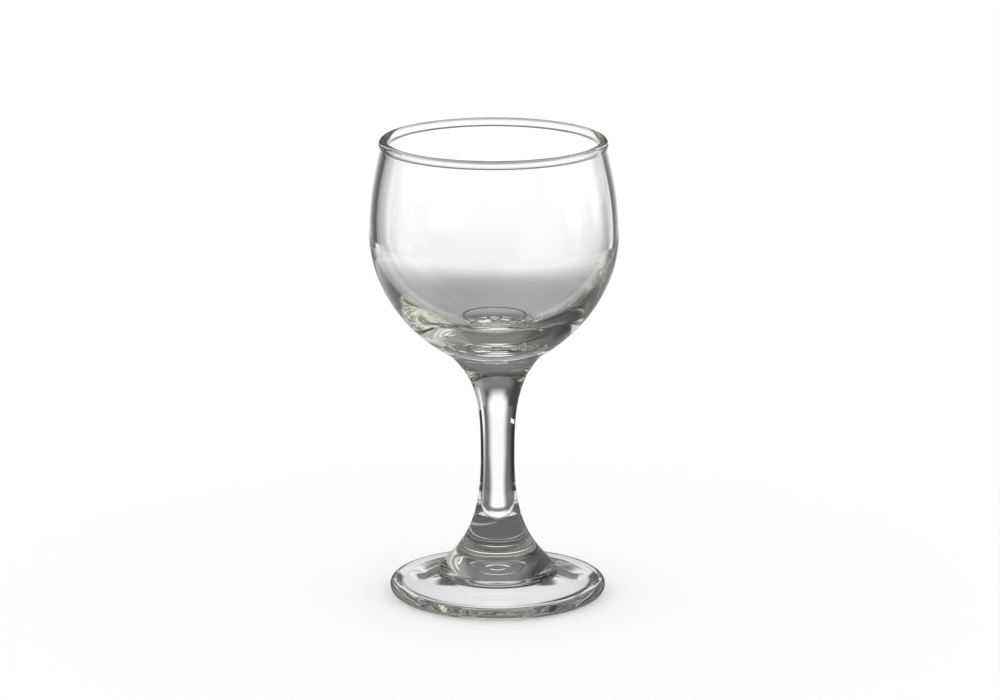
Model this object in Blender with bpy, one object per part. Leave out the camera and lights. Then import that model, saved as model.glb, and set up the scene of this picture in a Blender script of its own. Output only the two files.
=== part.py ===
"""Port glass: a blown bowl, a solid stem and a pressed foot, each turned from its own profile.

Sizes are in metres and +Z is up. The origin is the centre of the ring that the glass stands on.
Each piece is drawn in its own frame, with z = 0 on its underside, and stands on the piece below it.
"""

import math

import bmesh
import bpy
from mathutils import Vector
from mathutils.geometry import interpolate_bezier

MM = 0.001
SEGMENTS = 64
MERGE_DISTANCE = 0.001 * MM
SHARP_ANGLE = math.radians(35)

# Gap kept at the two joints, where the real pieces are fused together
JOINT_GAP = 0.3 * MM

# Foot: a cone-topped disc with a rolled edge, hollowed underneath so that it stands on a ring
FOOT_DIAMETER = 51.2 * MM
FOOT_SEAT_HEIGHT = 4.65 * MM
FOOT_SEAT_MARGIN = 0.5 * MM
FOOT_WIDEST_HEIGHT = 2.0 * MM
FOOT_UPPER_ROLL = 1.5 * MM
BEARING_INNER_DIAMETER = 44.0 * MM
HOLLOW_EDGE_SLOPE = math.radians(7)
HOLLOW_EDGE_REACH = 2.2 * MM
HOLLOW_BEND_DIAMETER = 34.4 * MM
HOLLOW_BEND_HEIGHT = 1.2 * MM
HOLLOW_BEND_SLOPE = math.radians(22)
HOLLOW_BEND_OUTER_REACH = 1.6 * MM
HOLLOW_BEND_INNER_REACH = 6.0 * MM
HOLLOW_DEPTH = 3.5 * MM
HOLLOW_CENTRE_REACH = 7.0 * MM

# Stem: a waist between two flares, the lower one ending in a round-shouldered collar
STEM_HEIGHT = 53.3 * MM
WAIST_DIAMETER = 8.06 * MM
WAIST_HEIGHT = 28.9 * MM
WAIST_LOWER_REACH = 12.3 * MM
WAIST_UPPER_REACH = 10.8 * MM
COLLAR_DIAMETER = 27.8 * MM
COLLAR_EDGE_HEIGHT = 1.05 * MM
COLLAR_SHOULDER = 1.1 * MM
LOWER_FLARE_SLOPE = math.radians(43)
LOWER_FLARE_REACH = 10.8 * MM
UPPER_FLARE_SLOPE = math.radians(45)
UPPER_FLARE_REACH = 9.0 * MM

# Bowl: a round belly on a thick bottom, drawn in to a beaded rim
BOWL_HEIGHT = 51.45 * MM
BOWL_SEAT_DIAMETER = 22.0 * MM
BOWL_SEAT_SLOPE = math.radians(30.4)
BOWL_SEAT_REACH = 6.96 * MM
BELLY_DIAMETER = 58.8 * MM
BELLY_HEIGHT = 29.3 * MM
BELLY_WALL = 1.8 * MM
BELLY_LOWER_REACH = 16.4 * MM
BELLY_UPPER_REACH = 7.1 * MM
INNER_SIDE_REACH = 8.85 * MM
BOTTOM_THICKNESS = 4.84 * MM
CUP_DIAMETER = 38.1 * MM
CUP_EDGE_HEIGHT = 11.23 * MM
CUP_EDGE_SLOPE = math.radians(38.7)
CUP_BOTTOM_REACH = 9.26 * MM
CUP_LOWER_REACH = 5.92 * MM
CUP_UPPER_REACH = 3.96 * MM
RIM_DIAMETER = 53.85 * MM
BEAD_DIAMETER = 2.45 * MM
LIP_WALL = 2.0 * MM
LIP_LEAN = math.radians(13.6)
LIP_REACH = 7.7 * MM

# Mould marks: two fine rings in the middle of the bowl's inner bottom, and wide shallow ones under the foot
CUP_MARK_DIAMETERS = (3.4 * MM, 15.8 * MM)
CUP_MARK_WIDTH = 0.5 * MM
CUP_MARK_DEPTH = 0.14 * MM
FOOT_MARK_DIAMETERS = (3.4 * MM, 9.2 * MM, 15.2 * MM)
FOOT_MARK_WIDTH = 1.2 * MM
FOOT_MARK_DEPTH = 0.03 * MM

# Clear soda-lime glass with the faint grey-green that shows where it is thick
THIN_GLASS = (0.97, 0.98, 0.97, 1.0)
THICK_GLASS = (0.93, 0.95, 0.92, 1.0)
GLASS_ROUGHNESS = 0.02
GLASS_IOR = 1.52


def polar(centre, radius, angle):
    """The point at an angle, measured up from +X, on a circle in the profile's plane."""
    return Vector((centre[0] + radius * math.cos(angle), centre[1] + radius * math.sin(angle)))


def arc(centre, radius, start_angle, end_angle, count):
    """Points along an arc, with both ends."""
    step = (end_angle - start_angle) / (count - 1)
    return [polar(centre, radius, start_angle + step * i) for i in range(count)]


def bezier(start, start_handle, end_handle, end, count):
    """Points along a cubic curve, with both ends."""
    knots = [Vector(point) for point in (start, start_handle, end_handle, end)]
    return interpolate_bezier(*knots, count)


def point_at(run, radius):
    """The point of an outward run at a radius."""
    for start, end in zip(run, run[1:]):
        if start.x <= radius <= end.x:
            return start.lerp(end, (radius - start.x) / (end.x - start.x))
    raise ValueError("the run doesn't reach that radius")


def grooved(run, diameters, width, rise):
    """An outward run with a groove at each diameter, its middle moved up by the rise."""
    for diameter in diameters:
        radius = diameter / 2
        inner = point_at(run, radius - width / 2)
        middle = point_at(run, radius) + Vector((0.0, rise))
        outer = point_at(run, radius + width / 2)
        before = [point for point in run if point.x < inner.x]
        after = [point for point in run if point.x > outer.x]
        run = before + [inner, middle, outer] + after
    return run


def join_runs(*runs):
    """One profile from runs of points, without the points that neighbouring runs share."""
    profile = []
    for point in (Vector(point) for run in runs for point in run):
        if not profile or (point - profile[-1]).length > MERGE_DISTANCE:
            profile.append(point)
    return profile


def glass(name, colour):
    """A clear Principled glass."""
    material = bpy.data.materials.new(name)
    material.use_nodes = True
    shader = material.node_tree.nodes["Principled BSDF"]
    shader.inputs["Base Color"].default_value = colour
    shader.inputs["Metallic"].default_value = 0.0
    shader.inputs["Roughness"].default_value = GLASS_ROUGHNESS
    shader.inputs["IOR"].default_value = GLASS_IOR
    shader.inputs["Transmission Weight"].default_value = 1.0
    return material


def turned(name, profile, material):
    """A closed solid made by spinning a profile of (radius, height) points about the Z axis."""
    solid = bmesh.new()
    rail = [solid.verts.new((point.x, 0.0, point.y)) for point in profile]
    edges = [solid.edges.new(pair) for pair in zip(rail, rail[1:])]
    bmesh.ops.spin(
        solid,
        geom=rail + edges,
        cent=(0, 0, 0),
        axis=(0, 0, 1),
        angle=math.tau,
        steps=SEGMENTS,
        use_merge=True,
    )
    bmesh.ops.remove_doubles(solid, verts=solid.verts, dist=MERGE_DISTANCE)
    bmesh.ops.recalc_face_normals(solid, faces=solid.faces)
    mesh = bpy.data.meshes.new(name)
    solid.to_mesh(mesh)
    solid.free()
    mesh.materials.append(material)
    mesh.shade_smooth()
    mesh.set_sharp_from_angle(angle=SHARP_ANGLE)
    piece = bpy.data.objects.new(name, mesh)
    bpy.context.scene.collection.objects.link(piece)
    return piece


def foot_profile():
    """From the seat outwards, down the rolled edge, and back to the axis under the hollow."""
    radius = FOOT_DIAMETER / 2
    seat_edge = Vector((COLLAR_DIAMETER / 2 + FOOT_SEAT_MARGIN, FOOT_SEAT_HEIGHT))
    upper_centre = Vector((radius - FOOT_UPPER_ROLL, FOOT_WIDEST_HEIGHT))
    lower_centre = Vector((radius - FOOT_WIDEST_HEIGHT, FOOT_WIDEST_HEIGHT))
    # The straight top runs from the seat's edge to where it touches the upper roll
    to_seat = seat_edge - upper_centre
    touch_angle = math.atan2(to_seat.y, to_seat.x) - math.acos(FOOT_UPPER_ROLL / to_seat.length)
    # Under the foot the hollow starts flat, steepens to its bend and levels out at the axis
    bearing_edge = Vector((BEARING_INNER_DIAMETER / 2, 0.0))
    edge_rise = Vector((-math.cos(HOLLOW_EDGE_SLOPE), math.sin(HOLLOW_EDGE_SLOPE)))
    bend = Vector((HOLLOW_BEND_DIAMETER / 2, HOLLOW_BEND_HEIGHT))
    bend_rise = Vector((-math.cos(HOLLOW_BEND_SLOPE), math.sin(HOLLOW_BEND_SLOPE)))
    ceiling = bezier(
        (0.0, HOLLOW_DEPTH),
        (HOLLOW_CENTRE_REACH, HOLLOW_DEPTH),
        bend + bend_rise * HOLLOW_BEND_INNER_REACH,
        bend,
        7,
    )
    ceiling = grooved(ceiling, FOOT_MARK_DIAMETERS, FOOT_MARK_WIDTH, FOOT_MARK_DEPTH)
    return join_runs(
        [(0.0, FOOT_SEAT_HEIGHT), seat_edge],
        arc(upper_centre, FOOT_UPPER_ROLL, touch_angle, 0.0, 6),
        arc(lower_centre, FOOT_WIDEST_HEIGHT, 0.0, -math.pi / 2, 7),
        bezier(
            bearing_edge,
            bearing_edge + edge_rise * HOLLOW_EDGE_REACH,
            bend - bend_rise * HOLLOW_BEND_OUTER_REACH,
            bend,
            5,
        ),
        reversed(ceiling),
    )


def stem_profile():
    """From the top face down the upper flare, the waist, the lower flare and the collar."""
    top = Vector((BOWL_SEAT_DIAMETER / 2, STEM_HEIGHT))
    waist = Vector((WAIST_DIAMETER / 2, WAIST_HEIGHT))
    collar_radius = COLLAR_DIAMETER / 2
    shoulder_centre = Vector((collar_radius - COLLAR_SHOULDER, COLLAR_EDGE_HEIGHT))
    shoulder = arc(shoulder_centre, COLLAR_SHOULDER, math.pi / 2 - LOWER_FLARE_SLOPE, 0.0, 5)
    inwards_up = Vector((-math.cos(LOWER_FLARE_SLOPE), math.sin(LOWER_FLARE_SLOPE)))
    inwards_down = Vector((-math.cos(UPPER_FLARE_SLOPE), -math.sin(UPPER_FLARE_SLOPE)))
    up = Vector((0.0, 1.0))
    return join_runs(
        [(0.0, STEM_HEIGHT)],
        bezier(
            top,
            top + inwards_down * UPPER_FLARE_REACH,
            waist + up * WAIST_UPPER_REACH,
            waist,
            10,
        ),
        bezier(
            waist,
            waist - up * WAIST_LOWER_REACH,
            shoulder[0] + inwards_up * LOWER_FLARE_REACH,
            shoulder[0],
            11,
        ),
        shoulder,
        [(collar_radius, 0.0), (0.0, 0.0)],
    )


def bowl_profile():
    """From the inner bottom up the inside, over the bead, and down the outside to the seat."""
    up = Vector((0.0, 1.0))
    bead_radius = BEAD_DIAMETER / 2
    bead_centre = Vector((RIM_DIAMETER / 2 - bead_radius, BOWL_HEIGHT - bead_radius))
    # The bead runs into the wall where its width has come down to the lip's thickness
    tuck_angle = math.acos(LIP_WALL / BEAD_DIAMETER)
    bead = arc(bead_centre, bead_radius, math.pi + tuck_angle, -tuck_angle, 11)
    lip_handle = Vector((math.sin(LIP_LEAN), -math.cos(LIP_LEAN))) * LIP_REACH
    outer_belly = Vector((BELLY_DIAMETER / 2, BELLY_HEIGHT))
    inner_belly = outer_belly - Vector((BELLY_WALL, 0.0))
    seat = Vector((BOWL_SEAT_DIAMETER / 2, 0.0))
    seat_rise = Vector((math.cos(BOWL_SEAT_SLOPE), math.sin(BOWL_SEAT_SLOPE)))
    cup_edge = Vector((CUP_DIAMETER / 2, CUP_EDGE_HEIGHT))
    cup_rise = Vector((math.cos(CUP_EDGE_SLOPE), math.sin(CUP_EDGE_SLOPE)))
    cup = bezier(
        (0.0, BOTTOM_THICKNESS),
        (CUP_BOTTOM_REACH, BOTTOM_THICKNESS),
        cup_edge - cup_rise * CUP_LOWER_REACH,
        cup_edge,
        9,
    )
    return join_runs(
        grooved(cup, CUP_MARK_DIAMETERS, CUP_MARK_WIDTH, -CUP_MARK_DEPTH),
        bezier(
            cup_edge,
            cup_edge + cup_rise * CUP_UPPER_REACH,
            inner_belly - up * INNER_SIDE_REACH,
            inner_belly,
            8,
        ),
        bezier(inner_belly, inner_belly + up * BELLY_UPPER_REACH, bead[0] + lip_handle, bead[0], 6),
        bead,
        bezier(bead[-1], bead[-1] + lip_handle, outer_belly + up * BELLY_UPPER_REACH, outer_belly, 6),
        bezier(
            outer_belly,
            outer_belly - up * BELLY_LOWER_REACH,
            seat + seat_rise * BOWL_SEAT_REACH,
            seat,
            13,
        ),
        [(0.0, 0.0)],
    )


def stand_on(piece, support, support_height):
    """Stands a piece on the one below it, with the joint's gap between them."""
    piece.parent = support
    piece.location.z = support_height + JOINT_GAP


def main():
    for old in list(bpy.data.objects):
        bpy.data.objects.remove(old)
    foot = turned("foot", foot_profile(), glass("foot_glass", THICK_GLASS))
    stem = turned("stem", stem_profile(), glass("stem_glass", THICK_GLASS))
    bowl = turned("bowl", bowl_profile(), glass("bowl_glass", THIN_GLASS))
    stand_on(stem, foot, FOOT_SEAT_HEIGHT)
    stand_on(bowl, stem, STEM_HEIGHT)


main()
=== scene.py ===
import math

import bmesh
import bpy
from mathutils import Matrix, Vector
from mathutils.geometry import interpolate_bezier


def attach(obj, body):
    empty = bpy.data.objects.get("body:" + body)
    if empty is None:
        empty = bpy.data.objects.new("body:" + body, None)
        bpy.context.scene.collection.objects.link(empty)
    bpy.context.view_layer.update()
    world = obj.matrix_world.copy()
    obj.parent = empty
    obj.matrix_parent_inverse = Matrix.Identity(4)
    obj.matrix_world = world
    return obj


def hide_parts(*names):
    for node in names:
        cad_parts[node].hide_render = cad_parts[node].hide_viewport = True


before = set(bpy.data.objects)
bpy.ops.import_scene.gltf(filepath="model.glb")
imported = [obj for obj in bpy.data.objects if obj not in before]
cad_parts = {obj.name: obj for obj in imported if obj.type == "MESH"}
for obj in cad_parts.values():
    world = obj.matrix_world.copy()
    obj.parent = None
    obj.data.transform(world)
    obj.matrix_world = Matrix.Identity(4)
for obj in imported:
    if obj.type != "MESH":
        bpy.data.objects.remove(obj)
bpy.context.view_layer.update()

MM = 0.001
GLASS_STEPS = 192
STAGE_STEPS = 96
SMALLEST_STEP = 1e-4
MERGE_DISTANCE = 1e-7
JOINT_TOLERANCE = 1e-6
SHARP_ANGLE = math.radians(30)
UP = Vector((0.0, 1.0))

# Profile sizes in millimetres, with z = 0 on the table. They are the CAD model's, with each joint closed
# and the rings under the foot a little deeper.
LOWER_JOINT = 4.65
UPPER_JOINT = 58.4

FOOT_RADIUS = 25.6
FOOT_WIDEST = 2.0
FOOT_UPPER_ROLL = 1.5
FOOT_SEAT_EDGE = 14.4
BEARING_INNER = 22.0
HOLLOW_EDGE_SLOPE = math.radians(7)
HOLLOW_EDGE_HANDLE = 2.2
HOLLOW_BEND = Vector((17.2, 1.2))
HOLLOW_BEND_SLOPE = math.radians(22)
HOLLOW_BEND_OUTER_HANDLE = 1.6
HOLLOW_BEND_INNER_HANDLE = 6.0
HOLLOW_DEPTH = 3.5
HOLLOW_TOP_HANDLE = 7.0
FOOT_MARKS = (1.7, 4.6, 7.6)
FOOT_MARK_WIDTH = 1.2
FOOT_MARK_DEPTH = 0.05

WAIST = Vector((4.03, 33.85))
WAIST_UPPER_HANDLE = 10.8
WAIST_LOWER_HANDLE = 12.3
COLLAR_RADIUS = 13.9
COLLAR_EDGE_TOP = 6.0
COLLAR_SHOULDER = 1.1
COLLAR_FILLET = 0.35
LOWER_FLARE = math.radians(43)
LOWER_FLARE_HANDLE = 10.8
UPPER_FLARE = math.radians(45)
UPPER_FLARE_HANDLE = 9.0

SEAT_RADIUS = 11.0
SEAT_SLOPE = math.radians(30.4)
SEAT_HANDLE = 6.96
BELLY = Vector((29.4, 87.85))
BELLY_WALL = 1.8
BELLY_UPPER_HANDLE = 7.1
BELLY_LOWER_HANDLE = 16.4
INNER_BELLY_HANDLE = 8.85
CUP_BOTTOM = 63.39
CUP_BOTTOM_HANDLE = 9.26
CUP_EDGE = Vector((19.05, 69.78))
CUP_SLOPE = math.radians(38.7)
CUP_EDGE_LOWER_HANDLE = 5.92
CUP_EDGE_UPPER_HANDLE = 3.96
CUP_MARKS = (1.7, 7.9)
CUP_MARK_WIDTH = 0.5
CUP_MARK_DEPTH = 0.14
RIM_TOP = 110.0
RIM_RADIUS = 26.925
BEAD_RADIUS = 1.225
LIP_WALL = 2.0
LIP_LEAN = math.radians(13.6)
LIP_HANDLE = 7.7

# How far the stem, the bowl's bottom and the rim stand to the right of the axis, and the heights between
# which the stem's offset becomes the bowl's
STEM_OFFSET = 0.4
BOWL_OFFSET = -0.3
RIM_OFFSET = -0.58
OFFSET_START = 48.0
OFFSET_END = 66.0

# Soda-lime glass, with the waves' depth in metres below and above the height where they end, and the half
# widths and half heights in millimetres over which a ring of painted shade fades
GLASS_IOR = 1.52
GLASS_TINT = (0.62, 0.66, 0.20, 1.0)
TINT_DENSITY = 1.3
CLEAR = (1.0, 1.0, 1.0, 1.0)
# The near black base colour of painted shade
PAINTED_SHADE = (0.02, 0.02, 0.02, 1.0)
WAVE_SCALE = 70.0
WAVE_DEPTHS = (0.00003, 0.000002)
WAVE_FADE = 12.0
BOWL_WAVES_END = 72.0
WAVES_EVERYWHERE = 120.0
SHADED_RING_LEVEL = CUP_BOTTOM + 0.5
SHADED_RING_WIDTHS = (0.18, 0.42)
SHADED_RING_HEIGHTS = (0.9, 1.1)
SHADED_RING_STRENGTH = 0.95
# Painted shade darkens the collar's lower edge: full below this height less the fade, gone at it, in
# millimetres
COLLAR_SHADE_TOP = 6.4
COLLAR_SHADE_FADE = 0.6
COLLAR_SHADE_STRENGTH = 0.8

# The studio as the glass sees it. A panel is a centre azimuth, the turns either side at which it is full and
# gone, and the elevations over which its lower and its upper edge fade, all in degrees.
ROOM = (0.10, 0.10, 0.098, 1.0)
ROOM_TONES = (
    ((0.22, 0.22, 0.22, 1.0), 0, (30, 70), (5, 20), (55, 75)),
    ((0.05, 0.05, 0.05, 1.0), -65, (30, 50), (-90, -80), (30, 50)),
    ((0.36, 0.36, 0.35, 1.0), 45, (15, 25), (-10, 0), (35, 55)),
    ((0.22, 0.22, 0.215, 1.0), 180, (30, 55), (-10, 10), (60, 80)),
)
WINDOW = (0.90, 0.90, 0.80, 1.0)
WINDOW_PANEL = (76, (22, 34), (-24, -8), (42, 60))
WHITE = (1.16, 1.16, 1.18, 1.0)
WHITE_PANELS = (
    (0.75, 41, (3, 8), (-90, -80), (12, 25)),
    (0.75, -90, (7, 13), (-18, -10), (3, 9)),
    (1.0, 135, (10, 20), (-32, -24), (-6, 4)),
    (1.0, 0, (13, 25), (-24, -13), (-4, 7)),
    (1.0, 0, (5, 19), (-8, -3), (-1, 15)),
)
LAMP = (9.0, 8.6, 7.0, 1.0)
LAMP_DIRECTION = (-0.749, 0.398, 0.530)
LAMP_RADII = (3.2, 2.2)
COOL = (1.0, 1.0, 1.02)
LANE_SIDE = (10, 27)

# What everything else sees: white for the camera, and a little more than white as light
BACKGROUND = (1.0, 1.0, 1.0, 1.0)
STUDIO_LIGHT = (1.1, 1.1, 1.1, 1.0)
FLOOR_COLOUR = (0.92, 0.92, 0.92, 1.0)
FLOOR_RADIUS = 1.5
FLOOR_DROP = 0.0001

# A shallow cone of card stands round the stem below the bowl: its upper and lower edge as radius and height
CARD_TOP = (8.4, 54.0)
CARD_FOOT = (270.0, 1.7)

# The fitted view. Its centre lies left of and below the picture's centre by the two shifts, in pixels.
CAMERA_LENS = 177.4
CAMERA_PLACE = (0.0, -1.129186, 0.338276)
CAMERA_PITCH = math.radians(14.083)
FOCAL_PIXELS = 4928
LEFT_SHIFT = 4.2
DOWN_SHIFT = 17.16


def arc(centre, radius, start, end, count):
    """Points along an arc in the profile's plane, angles in radians."""
    points = []
    for i in range(count):
        angle = start + (end - start) * i / (count - 1)
        points.append(Vector(centre) + radius * Vector((math.cos(angle), math.sin(angle))))
    return points


def bezier(start, start_handle, end_handle, end, count):
    """Points along a cubic curve."""
    return interpolate_bezier(*(Vector(p) for p in (start, start_handle, end_handle, end)), count)


def line(start, end, count):
    """Evenly spaced points on a straight line."""
    return [Vector(start).lerp(Vector(end), i / (count - 1)) for i in range(count)]


def slope(angle):
    """The direction at an angle above the outward level."""
    return Vector((math.cos(angle), math.sin(angle)))


def marked(run, radii, width, rise):
    """The run with a rounded ring pressed into it at each radius."""
    for point in run:
        for radius in radii:
            off = (point.x - radius) / (width / 2)
            if abs(off) < 1:
                point.y += rise * (0.5 + 0.5 * math.cos(math.pi * off))
    return run


def bowl_runs():
    """From the inner bottom up the inside, over the bead, and down the outside to the joint."""
    bead_centre = Vector((RIM_RADIUS - BEAD_RADIUS, RIM_TOP - BEAD_RADIUS))
    tuck = math.acos(LIP_WALL / (2 * BEAD_RADIUS))
    bead = arc(bead_centre, BEAD_RADIUS, math.pi + tuck, -tuck, 40)
    lip = slope(LIP_LEAN - math.pi / 2) * LIP_HANDLE
    above_belly = UP * BELLY_UPPER_HANDLE
    inner_belly = BELLY - Vector((BELLY_WALL, 0.0))
    below_inner_belly = inner_belly - UP * INNER_BELLY_HANDLE
    seat = Vector((SEAT_RADIUS, UPPER_JOINT))
    above_seat = seat + slope(SEAT_SLOPE) * SEAT_HANDLE
    cup_rise = slope(CUP_SLOPE)
    below_edge = CUP_EDGE - cup_rise * CUP_EDGE_LOWER_HANDLE
    above_edge = CUP_EDGE + cup_rise * CUP_EDGE_UPPER_HANDLE
    cup = bezier((0, CUP_BOTTOM), (CUP_BOTTOM_HANDLE, CUP_BOTTOM), below_edge, CUP_EDGE, 160)
    return [
        marked(cup, CUP_MARKS, CUP_MARK_WIDTH, -CUP_MARK_DEPTH),
        bezier(CUP_EDGE, above_edge, below_inner_belly, inner_belly, 40),
        bezier(inner_belly, inner_belly + above_belly, bead[0] + lip, bead[0], 26),
        bead,
        bezier(bead[-1], bead[-1] + lip, BELLY + above_belly, BELLY, 26),
        bezier(BELLY, BELLY - UP * BELLY_LOWER_HANDLE, above_seat, seat, 72),
    ]


def stem_runs():
    """From the upper joint down to the lower one."""
    top = Vector((SEAT_RADIUS, UPPER_JOINT))
    below_top = top - slope(UPPER_FLARE) * UPPER_FLARE_HANDLE
    shoulder_centre = (COLLAR_RADIUS - COLLAR_SHOULDER, COLLAR_EDGE_TOP)
    shoulder = arc(shoulder_centre, COLLAR_SHOULDER, math.pi / 2 - LOWER_FLARE, 0.0, 12)
    above_shoulder = shoulder[0] + slope(math.pi - LOWER_FLARE) * LOWER_FLARE_HANDLE
    fillet_centre = (COLLAR_RADIUS + COLLAR_FILLET, LOWER_JOINT + COLLAR_FILLET)
    return [
        bezier(top, below_top, WAIST + UP * WAIST_UPPER_HANDLE, WAIST, 48),
        bezier(WAIST, WAIST - UP * WAIST_LOWER_HANDLE, above_shoulder, shoulder[0], 52),
        shoulder,
        arc(fillet_centre, COLLAR_FILLET, math.pi, 1.5 * math.pi, 8),
    ]


def foot_runs():
    """From the lower joint outwards, round the edge and back to the axis under the hollow."""
    seat_edge = Vector((FOOT_SEAT_EDGE, LOWER_JOINT))
    upper = Vector((FOOT_RADIUS - FOOT_UPPER_ROLL, FOOT_WIDEST))
    lower = Vector((FOOT_RADIUS - FOOT_WIDEST, FOOT_WIDEST))
    to_seat = seat_edge - upper
    touch = math.atan2(to_seat.y, to_seat.x) - math.acos(FOOT_UPPER_ROLL / to_seat.length)
    roll = arc(upper, FOOT_UPPER_ROLL, touch, 0.0, 22)
    bearing = Vector((BEARING_INNER, 0.0))
    inside_bearing = bearing + slope(math.pi - HOLLOW_EDGE_SLOPE) * HOLLOW_EDGE_HANDLE
    bend_rise = slope(math.pi - HOLLOW_BEND_SLOPE)
    outside_bend = HOLLOW_BEND - bend_rise * HOLLOW_BEND_OUTER_HANDLE
    inside_bend = HOLLOW_BEND + bend_rise * HOLLOW_BEND_INNER_HANDLE
    hollow = bezier(HOLLOW_BEND, inside_bend, (HOLLOW_TOP_HANDLE, HOLLOW_DEPTH), (0, HOLLOW_DEPTH), 120)
    return [
        [(COLLAR_RADIUS + COLLAR_FILLET, LOWER_JOINT)],
        line(seat_edge, roll[0], 14),
        roll,
        arc(lower, FOOT_WIDEST, 0.0, -math.pi / 2, 26),
        line((lower.x, 0.0), bearing, 4),
        bezier(bearing, inside_bearing, outside_bend, HOLLOW_BEND, 20),
        marked(hollow, FOOT_MARKS, FOOT_MARK_WIDTH, FOOT_MARK_DEPTH),
    ]


def lean(height):
    """How far the glass stands to the right of its axis at a height, in millimetres."""
    t = min(max((height - OFFSET_START) / (OFFSET_END - OFFSET_START), 0.0), 1.0)
    step = (BOWL_OFFSET - STEM_OFFSET) * t * t * (3.0 - 2.0 * t)
    tilt = (RIM_OFFSET - BOWL_OFFSET) * max(height - OFFSET_END, 0.0) / (RIM_TOP - OFFSET_END)
    return STEM_OFFSET + step + tilt


def spun(points, steps):
    """The surface that a profile in millimetres sweeps round the axis."""
    surface = bmesh.new()
    rail = [surface.verts.new((radius * MM, 0.0, height * MM)) for radius, height in points]
    edges = [surface.edges.new(pair) for pair in zip(rail, rail[1:])]
    bmesh.ops.spin(
        surface,
        geom=rail + edges,
        cent=(0, 0, 0),
        axis=(0, 0, 1),
        angle=math.tau,
        steps=steps,
        use_merge=True,
    )
    return surface


def add_object(name, surface, materials):
    """A new object in the scene with the surface as its mesh."""
    mesh = bpy.data.meshes.new(name)
    surface.to_mesh(mesh)
    surface.free()
    for material in materials:
        mesh.materials.append(material)
    made = bpy.data.objects.new(name, mesh)
    bpy.context.scene.collection.objects.link(made)
    return made


def turned(name, runs, caps, materials):
    """A turned piece. Each cap closes a joint with a level disc that has the second material."""
    points = []
    for point in (Vector(point) for run in runs for point in run):
        if not points or (point - points[-1]).length > SMALLEST_STEP:
            points.append(point)
    solid = spun(points, GLASS_STEPS)
    bmesh.ops.remove_doubles(solid, verts=solid.verts, dist=MERGE_DISTANCE)
    for height in caps:
        open_edges = [e for e in solid.edges if e.is_boundary]
        ring = [e for e in open_edges if abs(e.verts[0].co.z - height * MM) < JOINT_TOLERANCE]
        for face in bmesh.ops.contextual_create(solid, geom=ring)["faces"]:
            face.material_index = 1
    bmesh.ops.recalc_face_normals(solid, faces=solid.faces)
    for vert in solid.verts:
        vert.co.x += lean(vert.co.z / MM) * MM
    piece = add_object(name, solid, materials)
    piece.data.shade_smooth()
    piece.data.set_sharp_from_angle(angle=SHARP_ANGLE)
    return piece


class Graph:
    """Short calls that add nodes to a tree."""

    def __init__(self, tree):
        self.tree = tree
        self.tree.nodes.clear()

    def node(self, kind, inputs=None, **settings):
        made = self.tree.nodes.new(kind)
        for key, value in settings.items():
            setattr(made, key, value)
        for key, value in (inputs or {}).items():
            self.feed(made.inputs[key], value)
        return made

    def feed(self, socket, value):
        if isinstance(value, bpy.types.NodeSocket):
            self.tree.links.new(value, socket)
        else:
            socket.default_value = value

    def math(self, operation, *values):
        return self.node("ShaderNodeMath", dict(enumerate(values)), operation=operation).outputs[0]

    def vector(self, operation, *values):
        return self.node("ShaderNodeVectorMath", dict(enumerate(values)), operation=operation)

    def fold(self, operation, first, *others):
        for other in others:
            first = self.math(operation, first, other)
        return first

    def product(self, *values):
        return self.fold("MULTIPLY", *values)

    def largest(self, *values):
        return self.fold("MAXIMUM", *values)

    def apart(self, a, b):
        return self.math("ABSOLUTE", self.math("SUBTRACT", a, b))

    def between(self, factor, a, b):
        return self.math("ADD", a, self.product(factor, self.math("SUBTRACT", b, a)))

    def ramp(self, value, low, high, at_low=0.0, at_high=1.0):
        inputs = {"Value": value, "From Min": low, "From Max": high, "To Min": at_low, "To Max": at_high}
        return self.node("ShaderNodeMapRange", inputs, interpolation_type="SMOOTHSTEP").outputs["Result"]

    def fall(self, value, low, high):
        return self.ramp(value, low, high, 1.0, 0.0)

    def angle_ramp(self, angle, low, high, at_low=0.0, at_high=1.0):
        """A ramp over an angle, with its limits in degrees."""
        return self.ramp(angle, math.radians(low), math.radians(high), at_low, at_high)

    def blend(self, factor, a, b):
        made = self.node("ShaderNodeMix", data_type="RGBA")
        for key, value in (("Factor_Float", factor), ("A_Color", a), ("B_Color", b)):
            self.feed(next(s for s in made.inputs if s.identifier == key), value)
        return next(s for s in made.outputs if s.identifier == "Result_Color")

    def shader_mix(self, factor, a, b):
        return self.node("ShaderNodeMixShader", {0: factor, 1: a.outputs[0], 2: b.outputs[0]})

    def surface(self, shader):
        return self.node("ShaderNodeOutputMaterial", {"Surface": shader.outputs[0]})


def new_material(name):
    """A material and the graph of its nodes."""
    material = bpy.data.materials.new(name)
    material.use_nodes = True
    return material, Graph(material.node_tree)


def level_reach(graph, place):
    """The level distance of a place from the origin."""
    level = graph.vector("MULTIPLY", place, (1.0, 1.0, 0.0)).outputs["Vector"]
    return graph.vector("LENGTH", level).outputs["Value"]


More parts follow.
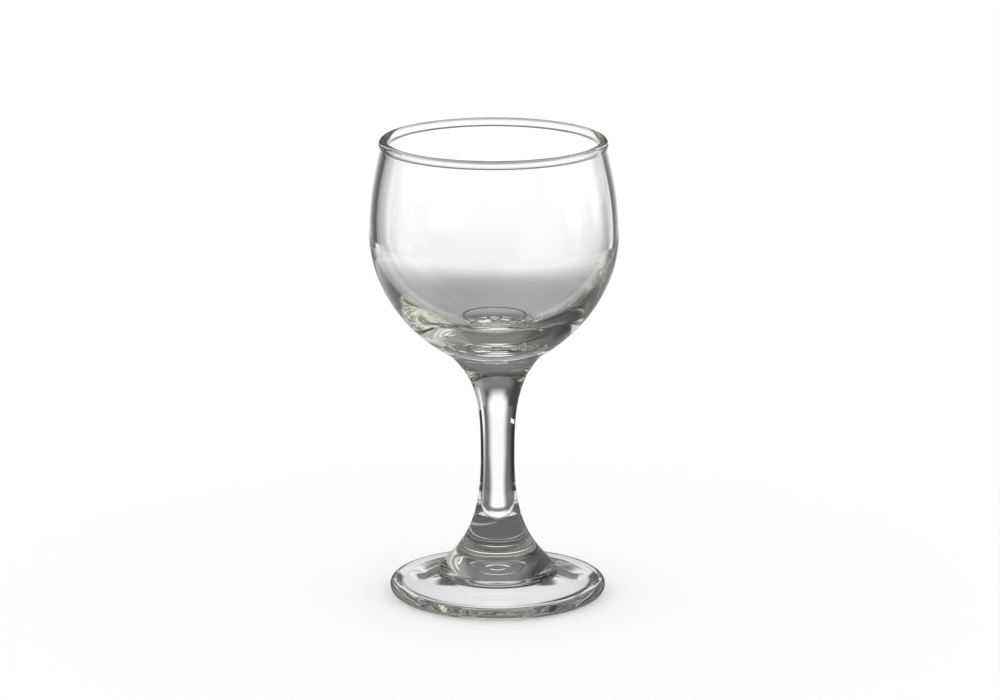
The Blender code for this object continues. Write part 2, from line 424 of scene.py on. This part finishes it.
def glass_material(name, clear_above, rings=(), shaded_below=0.0):
    """Soda-lime glass, faintly olive in its depth, wavy below a height, with painted shade along rings and
    below a height.
    """
    material, graph = new_material(name)
    place = graph.node("ShaderNodeTexCoord").outputs["Object"]
    height = graph.node("ShaderNodeSeparateXYZ", {0: place}).outputs["Z"]
    wave = graph.node("ShaderNodeTexNoise", {"Vector": place, "Scale": WAVE_SCALE, "Detail": 1.0})
    depth = graph.ramp(height, (clear_above - WAVE_FADE) * MM, clear_above * MM, *WAVE_DEPTHS)
    bump = graph.node("ShaderNodeBump", {"Height": wave.outputs["Fac"], "Distance": depth})
    # Painted shade: the base colour darkens to near black low on the stem's collar and along each ring.
    painted_shade = graph.ramp(height, (shaded_below - COLLAR_SHADE_FADE) * MM, shaded_below * MM, COLLAR_SHADE_STRENGTH, 0.0)
    for radius, level in rings:
        from_axis = graph.vector("SUBTRACT", place, (lean(level) * MM, 0.0, 0.0)).outputs["Vector"]
        across = graph.apart(level_reach(graph, from_axis), radius * MM)
        above = graph.apart(height, level * MM)
        ring = graph.product(
            graph.ramp(across, SHADED_RING_WIDTHS[0] * MM, SHADED_RING_WIDTHS[1] * MM, SHADED_RING_STRENGTH, 0.0),
            graph.fall(above, SHADED_RING_HEIGHTS[0] * MM, SHADED_RING_HEIGHTS[1] * MM),
        )
        painted_shade = graph.largest(painted_shade, ring)
    shader = graph.node(
        "ShaderNodeBsdfPrincipled",
        {
            "Base Color": graph.blend(painted_shade, CLEAR, PAINTED_SHADE),
            "Roughness": 0.0,
            "IOR": GLASS_IOR,
            "Transmission Weight": 1.0,
            "Normal": bump.outputs["Normal"],
        },
    )
    depth_tint = graph.node("ShaderNodeVolumeAbsorption", {"Color": GLASS_TINT, "Density": TINT_DENSITY})
    output = graph.surface(shader)
    graph.feed(output.inputs["Volume"], depth_tint.outputs[0])
    return material


def joint_material():
    """Lets light straight through, because the fused glass has no surface there."""
    material, graph = new_material("fused_joint")
    graph.surface(graph.node("ShaderNodeBsdfTransparent"))
    return material


def aside_turn(graph, azimuth, centre=0):
    """How far an azimuth lies from a centre in degrees, either way round, in radians."""
    turn = graph.apart(azimuth, math.radians(centre))
    return graph.math("SUBTRACT", math.pi, graph.apart(math.pi, turn))


def sector(graph, azimuth, centre, side):
    """How much of a soft-edged sector lies at an azimuth. Side is the turns where it is full and gone."""
    return graph.angle_ramp(aside_turn(graph, azimuth, centre), *side, 1.0, 0.0)


def streaks(graph, where, scale, roughness):
    """Light and shade in the window."""
    inputs = {"Vector": where, "Scale": scale, "Detail": 3.0, "Roughness": roughness}
    noise = graph.node("ShaderNodeTexNoise", inputs)
    return graph.ramp(noise.outputs["Fac"], 0.38, 0.62, 0.15, 1.0)


def cooled(graph, colour):
    """The colour with a little more blue."""
    return graph.vector("MULTIPLY", colour, COOL).outputs["Vector"]


def glass_rays(graph, path):
    """1 for a ray that comes straight from the glass."""
    glass = graph.largest(path.outputs["Is Glossy Ray"], path.outputs["Is Transmission Ray"])
    return graph.product(glass, graph.math("LESS_THAN", path.outputs["Diffuse Depth"], 0.5))


def card_material():
    """The upper side of the card, which only the glass sees, glowing with painted light and shade. Lengths
    are in metres.
    """
    material, graph = new_material("card")
    path = graph.node("ShaderNodeLightPath")
    place = graph.node("ShaderNodeTexCoord").outputs["Object"]
    x, y, _ = graph.node("ShaderNodeSeparateXYZ", {0: place}).outputs
    azimuth = graph.math("ARCTAN2", x, y)
    reach = level_reach(graph, place)

    # Behind the glass the card is painted light, with painted shade near the stem that fades outwards; beside
    # that it is painted dim.
    level = graph.product(
        graph.ramp(reach, 0.008, 0.017, 0.33, 1.0),
        graph.ramp(reach, 0.050, 0.210, 0.42, 1.03),
    )
    dim = graph.angle_ramp(aside_turn(graph, azimuth), 30, 100, 0.30, 0.12)
    azimuth_from_front = graph.math("ARCTAN2", x, graph.math("ADD", y, 0.053))
    lane = graph.between(
        graph.ramp(reach, 0.140, 0.260),
        sector(graph, azimuth_from_front, 0, (19, 25)),
        sector(graph, azimuth, 0, LANE_SIDE),
    )
    right_front = sector(graph, azimuth, 135, (25, 45))
    left = sector(graph, azimuth, -75, (40, 50))
    seen = cooled(graph, graph.blend(graph.largest(lane, right_front, left), dim, level))

    # A streaked window of painted light on the card
    window = graph.product(
        sector(graph, azimuth, *WINDOW_PANEL[:2]),
        graph.ramp(reach, 0.032, 0.060),
        streaks(graph, place, 40.0, 0.5),
    )
    seen = graph.blend(window, seen, WINDOW)

    upper = graph.math("SUBTRACT", 1.0, graph.node("ShaderNodeNewGeometry").outputs["Backfacing"])
    shown = graph.product(glass_rays(graph, path), upper)
    clear = graph.node("ShaderNodeBsdfTransparent")
    glow = graph.node("ShaderNodeEmission", {"Color": seen})
    graph.surface(graph.shader_mix(shown, clear, glow))
    return material


def floor_material():
    """A pale matt table. The glass sees painted light and shade glowing on it. Lengths are in metres."""
    material, graph = new_material("floor")
    path = graph.node("ShaderNodeLightPath")
    place = graph.node("ShaderNodeTexCoord").outputs["Object"]
    x, y, _ = graph.node("ShaderNodeSeparateXYZ", {0: place}).outputs
    aside = graph.math("ABSOLUTE", x)
    azimuth = graph.math("ARCTAN2", x, y)
    turn = aside_turn(graph, azimuth)
    reach = level_reach(graph, place)

    # Painted light under the foot and behind it, with painted shade in a dark core below the stem and a dark
    # ring round the foot.
    core = graph.largest(
        graph.product(graph.ramp(y, -0.005, -0.003), graph.fall(reach, 0.0135, 0.016)),
        graph.product(graph.ramp(y, 0.004, 0.007), graph.fall(reach, 0.0172, 0.0195)),
    )
    ring = graph.product(graph.ramp(reach, 0.025, 0.0265), graph.fall(reach, 0.032, 0.036))
    open_table = graph.product(
        graph.math("MULTIPLY_ADD", core, -0.88, 1.0),
        graph.math("MULTIPLY_ADD", ring, -0.78, 1.0),
    )
    behind = graph.product(
        graph.ramp(reach, 0.017, 0.019),
        graph.fall(reach, 0.025, 0.028),
        graph.fall(aside, 0.002, 0.004),
    )
    rim = graph.product(
        graph.ramp(reach, 0.0238, 0.0244),
        graph.ramp(reach, 0.0245, 0.0255, 1.0, 0.42),
        graph.fall(reach, 0.026, 0.028),
        graph.ramp(aside, 0.008, 0.012),
        graph.ramp(y, 0.003, 0.009),
    )
    level = graph.product(
        graph.largest(open_table, behind, rim, 0.11),
        graph.ramp(y, -0.004, 0.004, 0.80, 1.0),
        graph.ramp(reach, 0.030, 0.060, 1.14, 1.05),
        graph.ramp(reach, 0.270, 0.450, 1.0, 1.1),
    )

    # That painted level holds under the foot and in a painted lane of light behind it. Elsewhere the table is
    # painted dim.
    dim = graph.angle_ramp(turn, 26, 50, 0.17, 0.03)
    edge = graph.math("SUBTRACT", reach, graph.ramp(y, -0.016, 0.0, 0.0, 0.0012))
    edge = graph.math("SUBTRACT", edge, graph.ramp(y, 0.002, 0.008, 0.0, 0.0022))
    foot = graph.fall(edge, 0.0202, 0.0211)
    narrowed = graph.product(turn, graph.ramp(reach, 0.040, 0.140, 1.35, 1.0))
    lane = graph.angle_ramp(narrowed, *LANE_SIDE, 1.0, 0.0)
    seen = cooled(graph, graph.blend(graph.largest(lane, foot, rim), dim, level))

    # Painted patches of white light on the table, seen only through the glass
    strip = graph.product(
        sector(graph, azimuth, 41, (3, 8)),
        graph.ramp(reach, 0.040, 0.300, 0.3, 1.0),
    )
    left_back = graph.product(
        sector(graph, azimuth, -47, (8, 14)),
        graph.ramp(reach, 0.262, 0.270),
        graph.fall(reach, 0.320, 0.360),
    )
    right_front = graph.product(
        sector(graph, azimuth, 135, (15, 30)),
        graph.ramp(reach, 0.040, 0.060),
    )
    left = graph.product(
        sector(graph, azimuth, -90, (7, 13)),
        graph.ramp(reach, 0.200, 0.350, 0.0, 0.75),
    )
    for panel in (strip, left_back, right_front, left):
        seen = graph.blend(graph.product(panel, path.outputs["Is Transmission Ray"]), seen, WHITE)

    matt = graph.node("ShaderNodeBsdfDiffuse", {"Color": FLOOR_COLOUR})
    glow = graph.node("ShaderNodeEmission", {"Color": seen})
    graph.surface(graph.shader_mix(glass_rays(graph, path), matt, glow))
    return material


def build_card():
    """The cone of card, hidden from everything but the glass."""
    cone = spun((CARD_TOP, CARD_FOOT), STAGE_STEPS)
    cone.normal_update()
    for face in cone.faces:
        if face.normal.z < 0:
            face.normal_flip()
    card = add_object("card", cone, [card_material()])
    card.visible_camera = False
    card.visible_diffuse = False
    card.visible_shadow = False


def build_floor():
    """A round table, a hair below the foot."""
    disc = bmesh.new()
    bmesh.ops.create_circle(disc, cap_ends=True, segments=STAGE_STEPS, radius=FLOOR_RADIUS)
    floor = add_object("floor", disc, [floor_material()])
    floor.location.z = -FLOOR_DROP


def build_world():
    """A white studio. The glass sees it as panels round a dim room, which draw its edges dark."""
    world = bpy.data.worlds.new("studio")
    bpy.context.scene.world = world
    world.use_nodes = True
    graph = Graph(world.node_tree)
    path = graph.node("ShaderNodeLightPath")
    through = path.outputs["Is Transmission Ray"]
    direction = graph.node("ShaderNodeTexCoord").outputs["Generated"]
    x, y, z = graph.node("ShaderNodeSeparateXYZ", {0: direction}).outputs
    azimuth = graph.math("ARCTAN2", x, y)
    elevation = graph.math("ARCSINE", z)

    def panel(centre, side, low, high):
        above = graph.angle_ramp(elevation, *low)
        below = graph.angle_ramp(elevation, *high, 1.0, 0.0)
        return graph.product(sector(graph, azimuth, centre, side), above, below)

    seen = ROOM
    for colour, *place in ROOM_TONES:
        seen = graph.blend(panel(*place), seen, colour)
    window = graph.product(panel(*WINDOW_PANEL), through, streaks(graph, direction, 7.0, 0.6))
    seen = graph.blend(window, seen, WINDOW)
    for strength, *place in WHITE_PANELS:
        seen = graph.blend(graph.product(panel(*place), through, strength), seen, WHITE)

    # The lamp shows only where the glass mirrors it.
    towards_lamp = graph.vector("DOT_PRODUCT", direction, LAMP_DIRECTION).outputs["Value"]
    outer, inner = (math.cos(math.radians(radius)) for radius in LAMP_RADII)
    mirrored = graph.math("SUBTRACT", path.outputs["Is Glossy Ray"], through)
    seen = graph.blend(graph.product(graph.ramp(towards_lamp, outer, inner), mirrored), seen, LAMP)

    around = graph.blend(path.outputs["Is Camera Ray"], STUDIO_LIGHT, BACKGROUND)
    colour = graph.blend(glass_rays(graph, path), around, seen)
    background = graph.node("ShaderNodeBackground", {"Color": colour})
    graph.node("ShaderNodeOutputWorld", {"Surface": background.outputs[0]})


def build_camera():
    """The camera at the fitted view, turned so that the picture's centre is its own."""
    camera = bpy.data.cameras.new("camera")
    holder = bpy.data.objects.new("camera", camera)
    bpy.context.scene.collection.objects.link(holder)
    bpy.context.scene.camera = holder
    camera.lens = CAMERA_LENS
    holder.location = CAMERA_PLACE
    pitch = CAMERA_PITCH - math.atan(DOWN_SHIFT / FOCAL_PIXELS)
    yaw = -math.atan(LEFT_SHIFT / FOCAL_PIXELS)
    holder.rotation_euler = (math.pi / 2 - pitch, 0.0, yaw)


def main():
    """The three pieces, the stage and the camera."""
    scene = bpy.context.scene
    scene.view_settings.view_transform = "Standard"
    scene.cycles.max_bounces = 64
    scene.cycles.transmission_bounces = 48
    scene.cycles.glossy_bounces = 48
    scene.cycles.transparent_max_bounces = 64
    joint = joint_material()
    # Rings of painted shade on the bowl's inner bottom
    ring_shades = [(radius, SHADED_RING_LEVEL) for radius in CUP_MARKS]
    bowl_look = glass_material("bowl_glass_look", BOWL_WAVES_END, rings=ring_shades)
    stem_look = glass_material("stem_glass_look", WAVES_EVERYWHERE, shaded_below=COLLAR_SHADE_TOP)
    foot_look = glass_material("foot_glass_look", WAVES_EVERYWHERE)
    pieces = {
        "bowl": (bowl_runs(), [UPPER_JOINT], bowl_look),
        "stem": (stem_runs(), [UPPER_JOINT, LOWER_JOINT], stem_look),
        "foot": (foot_runs(), [LOWER_JOINT], foot_look),
    }
    for node, (runs, caps, look) in pieces.items():
        piece = turned(node + "_glass", runs, caps, [look, joint])
        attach(piece, "root")
        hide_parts(node)
    build_floor()
    build_card()
    build_world()
    build_camera()


main()
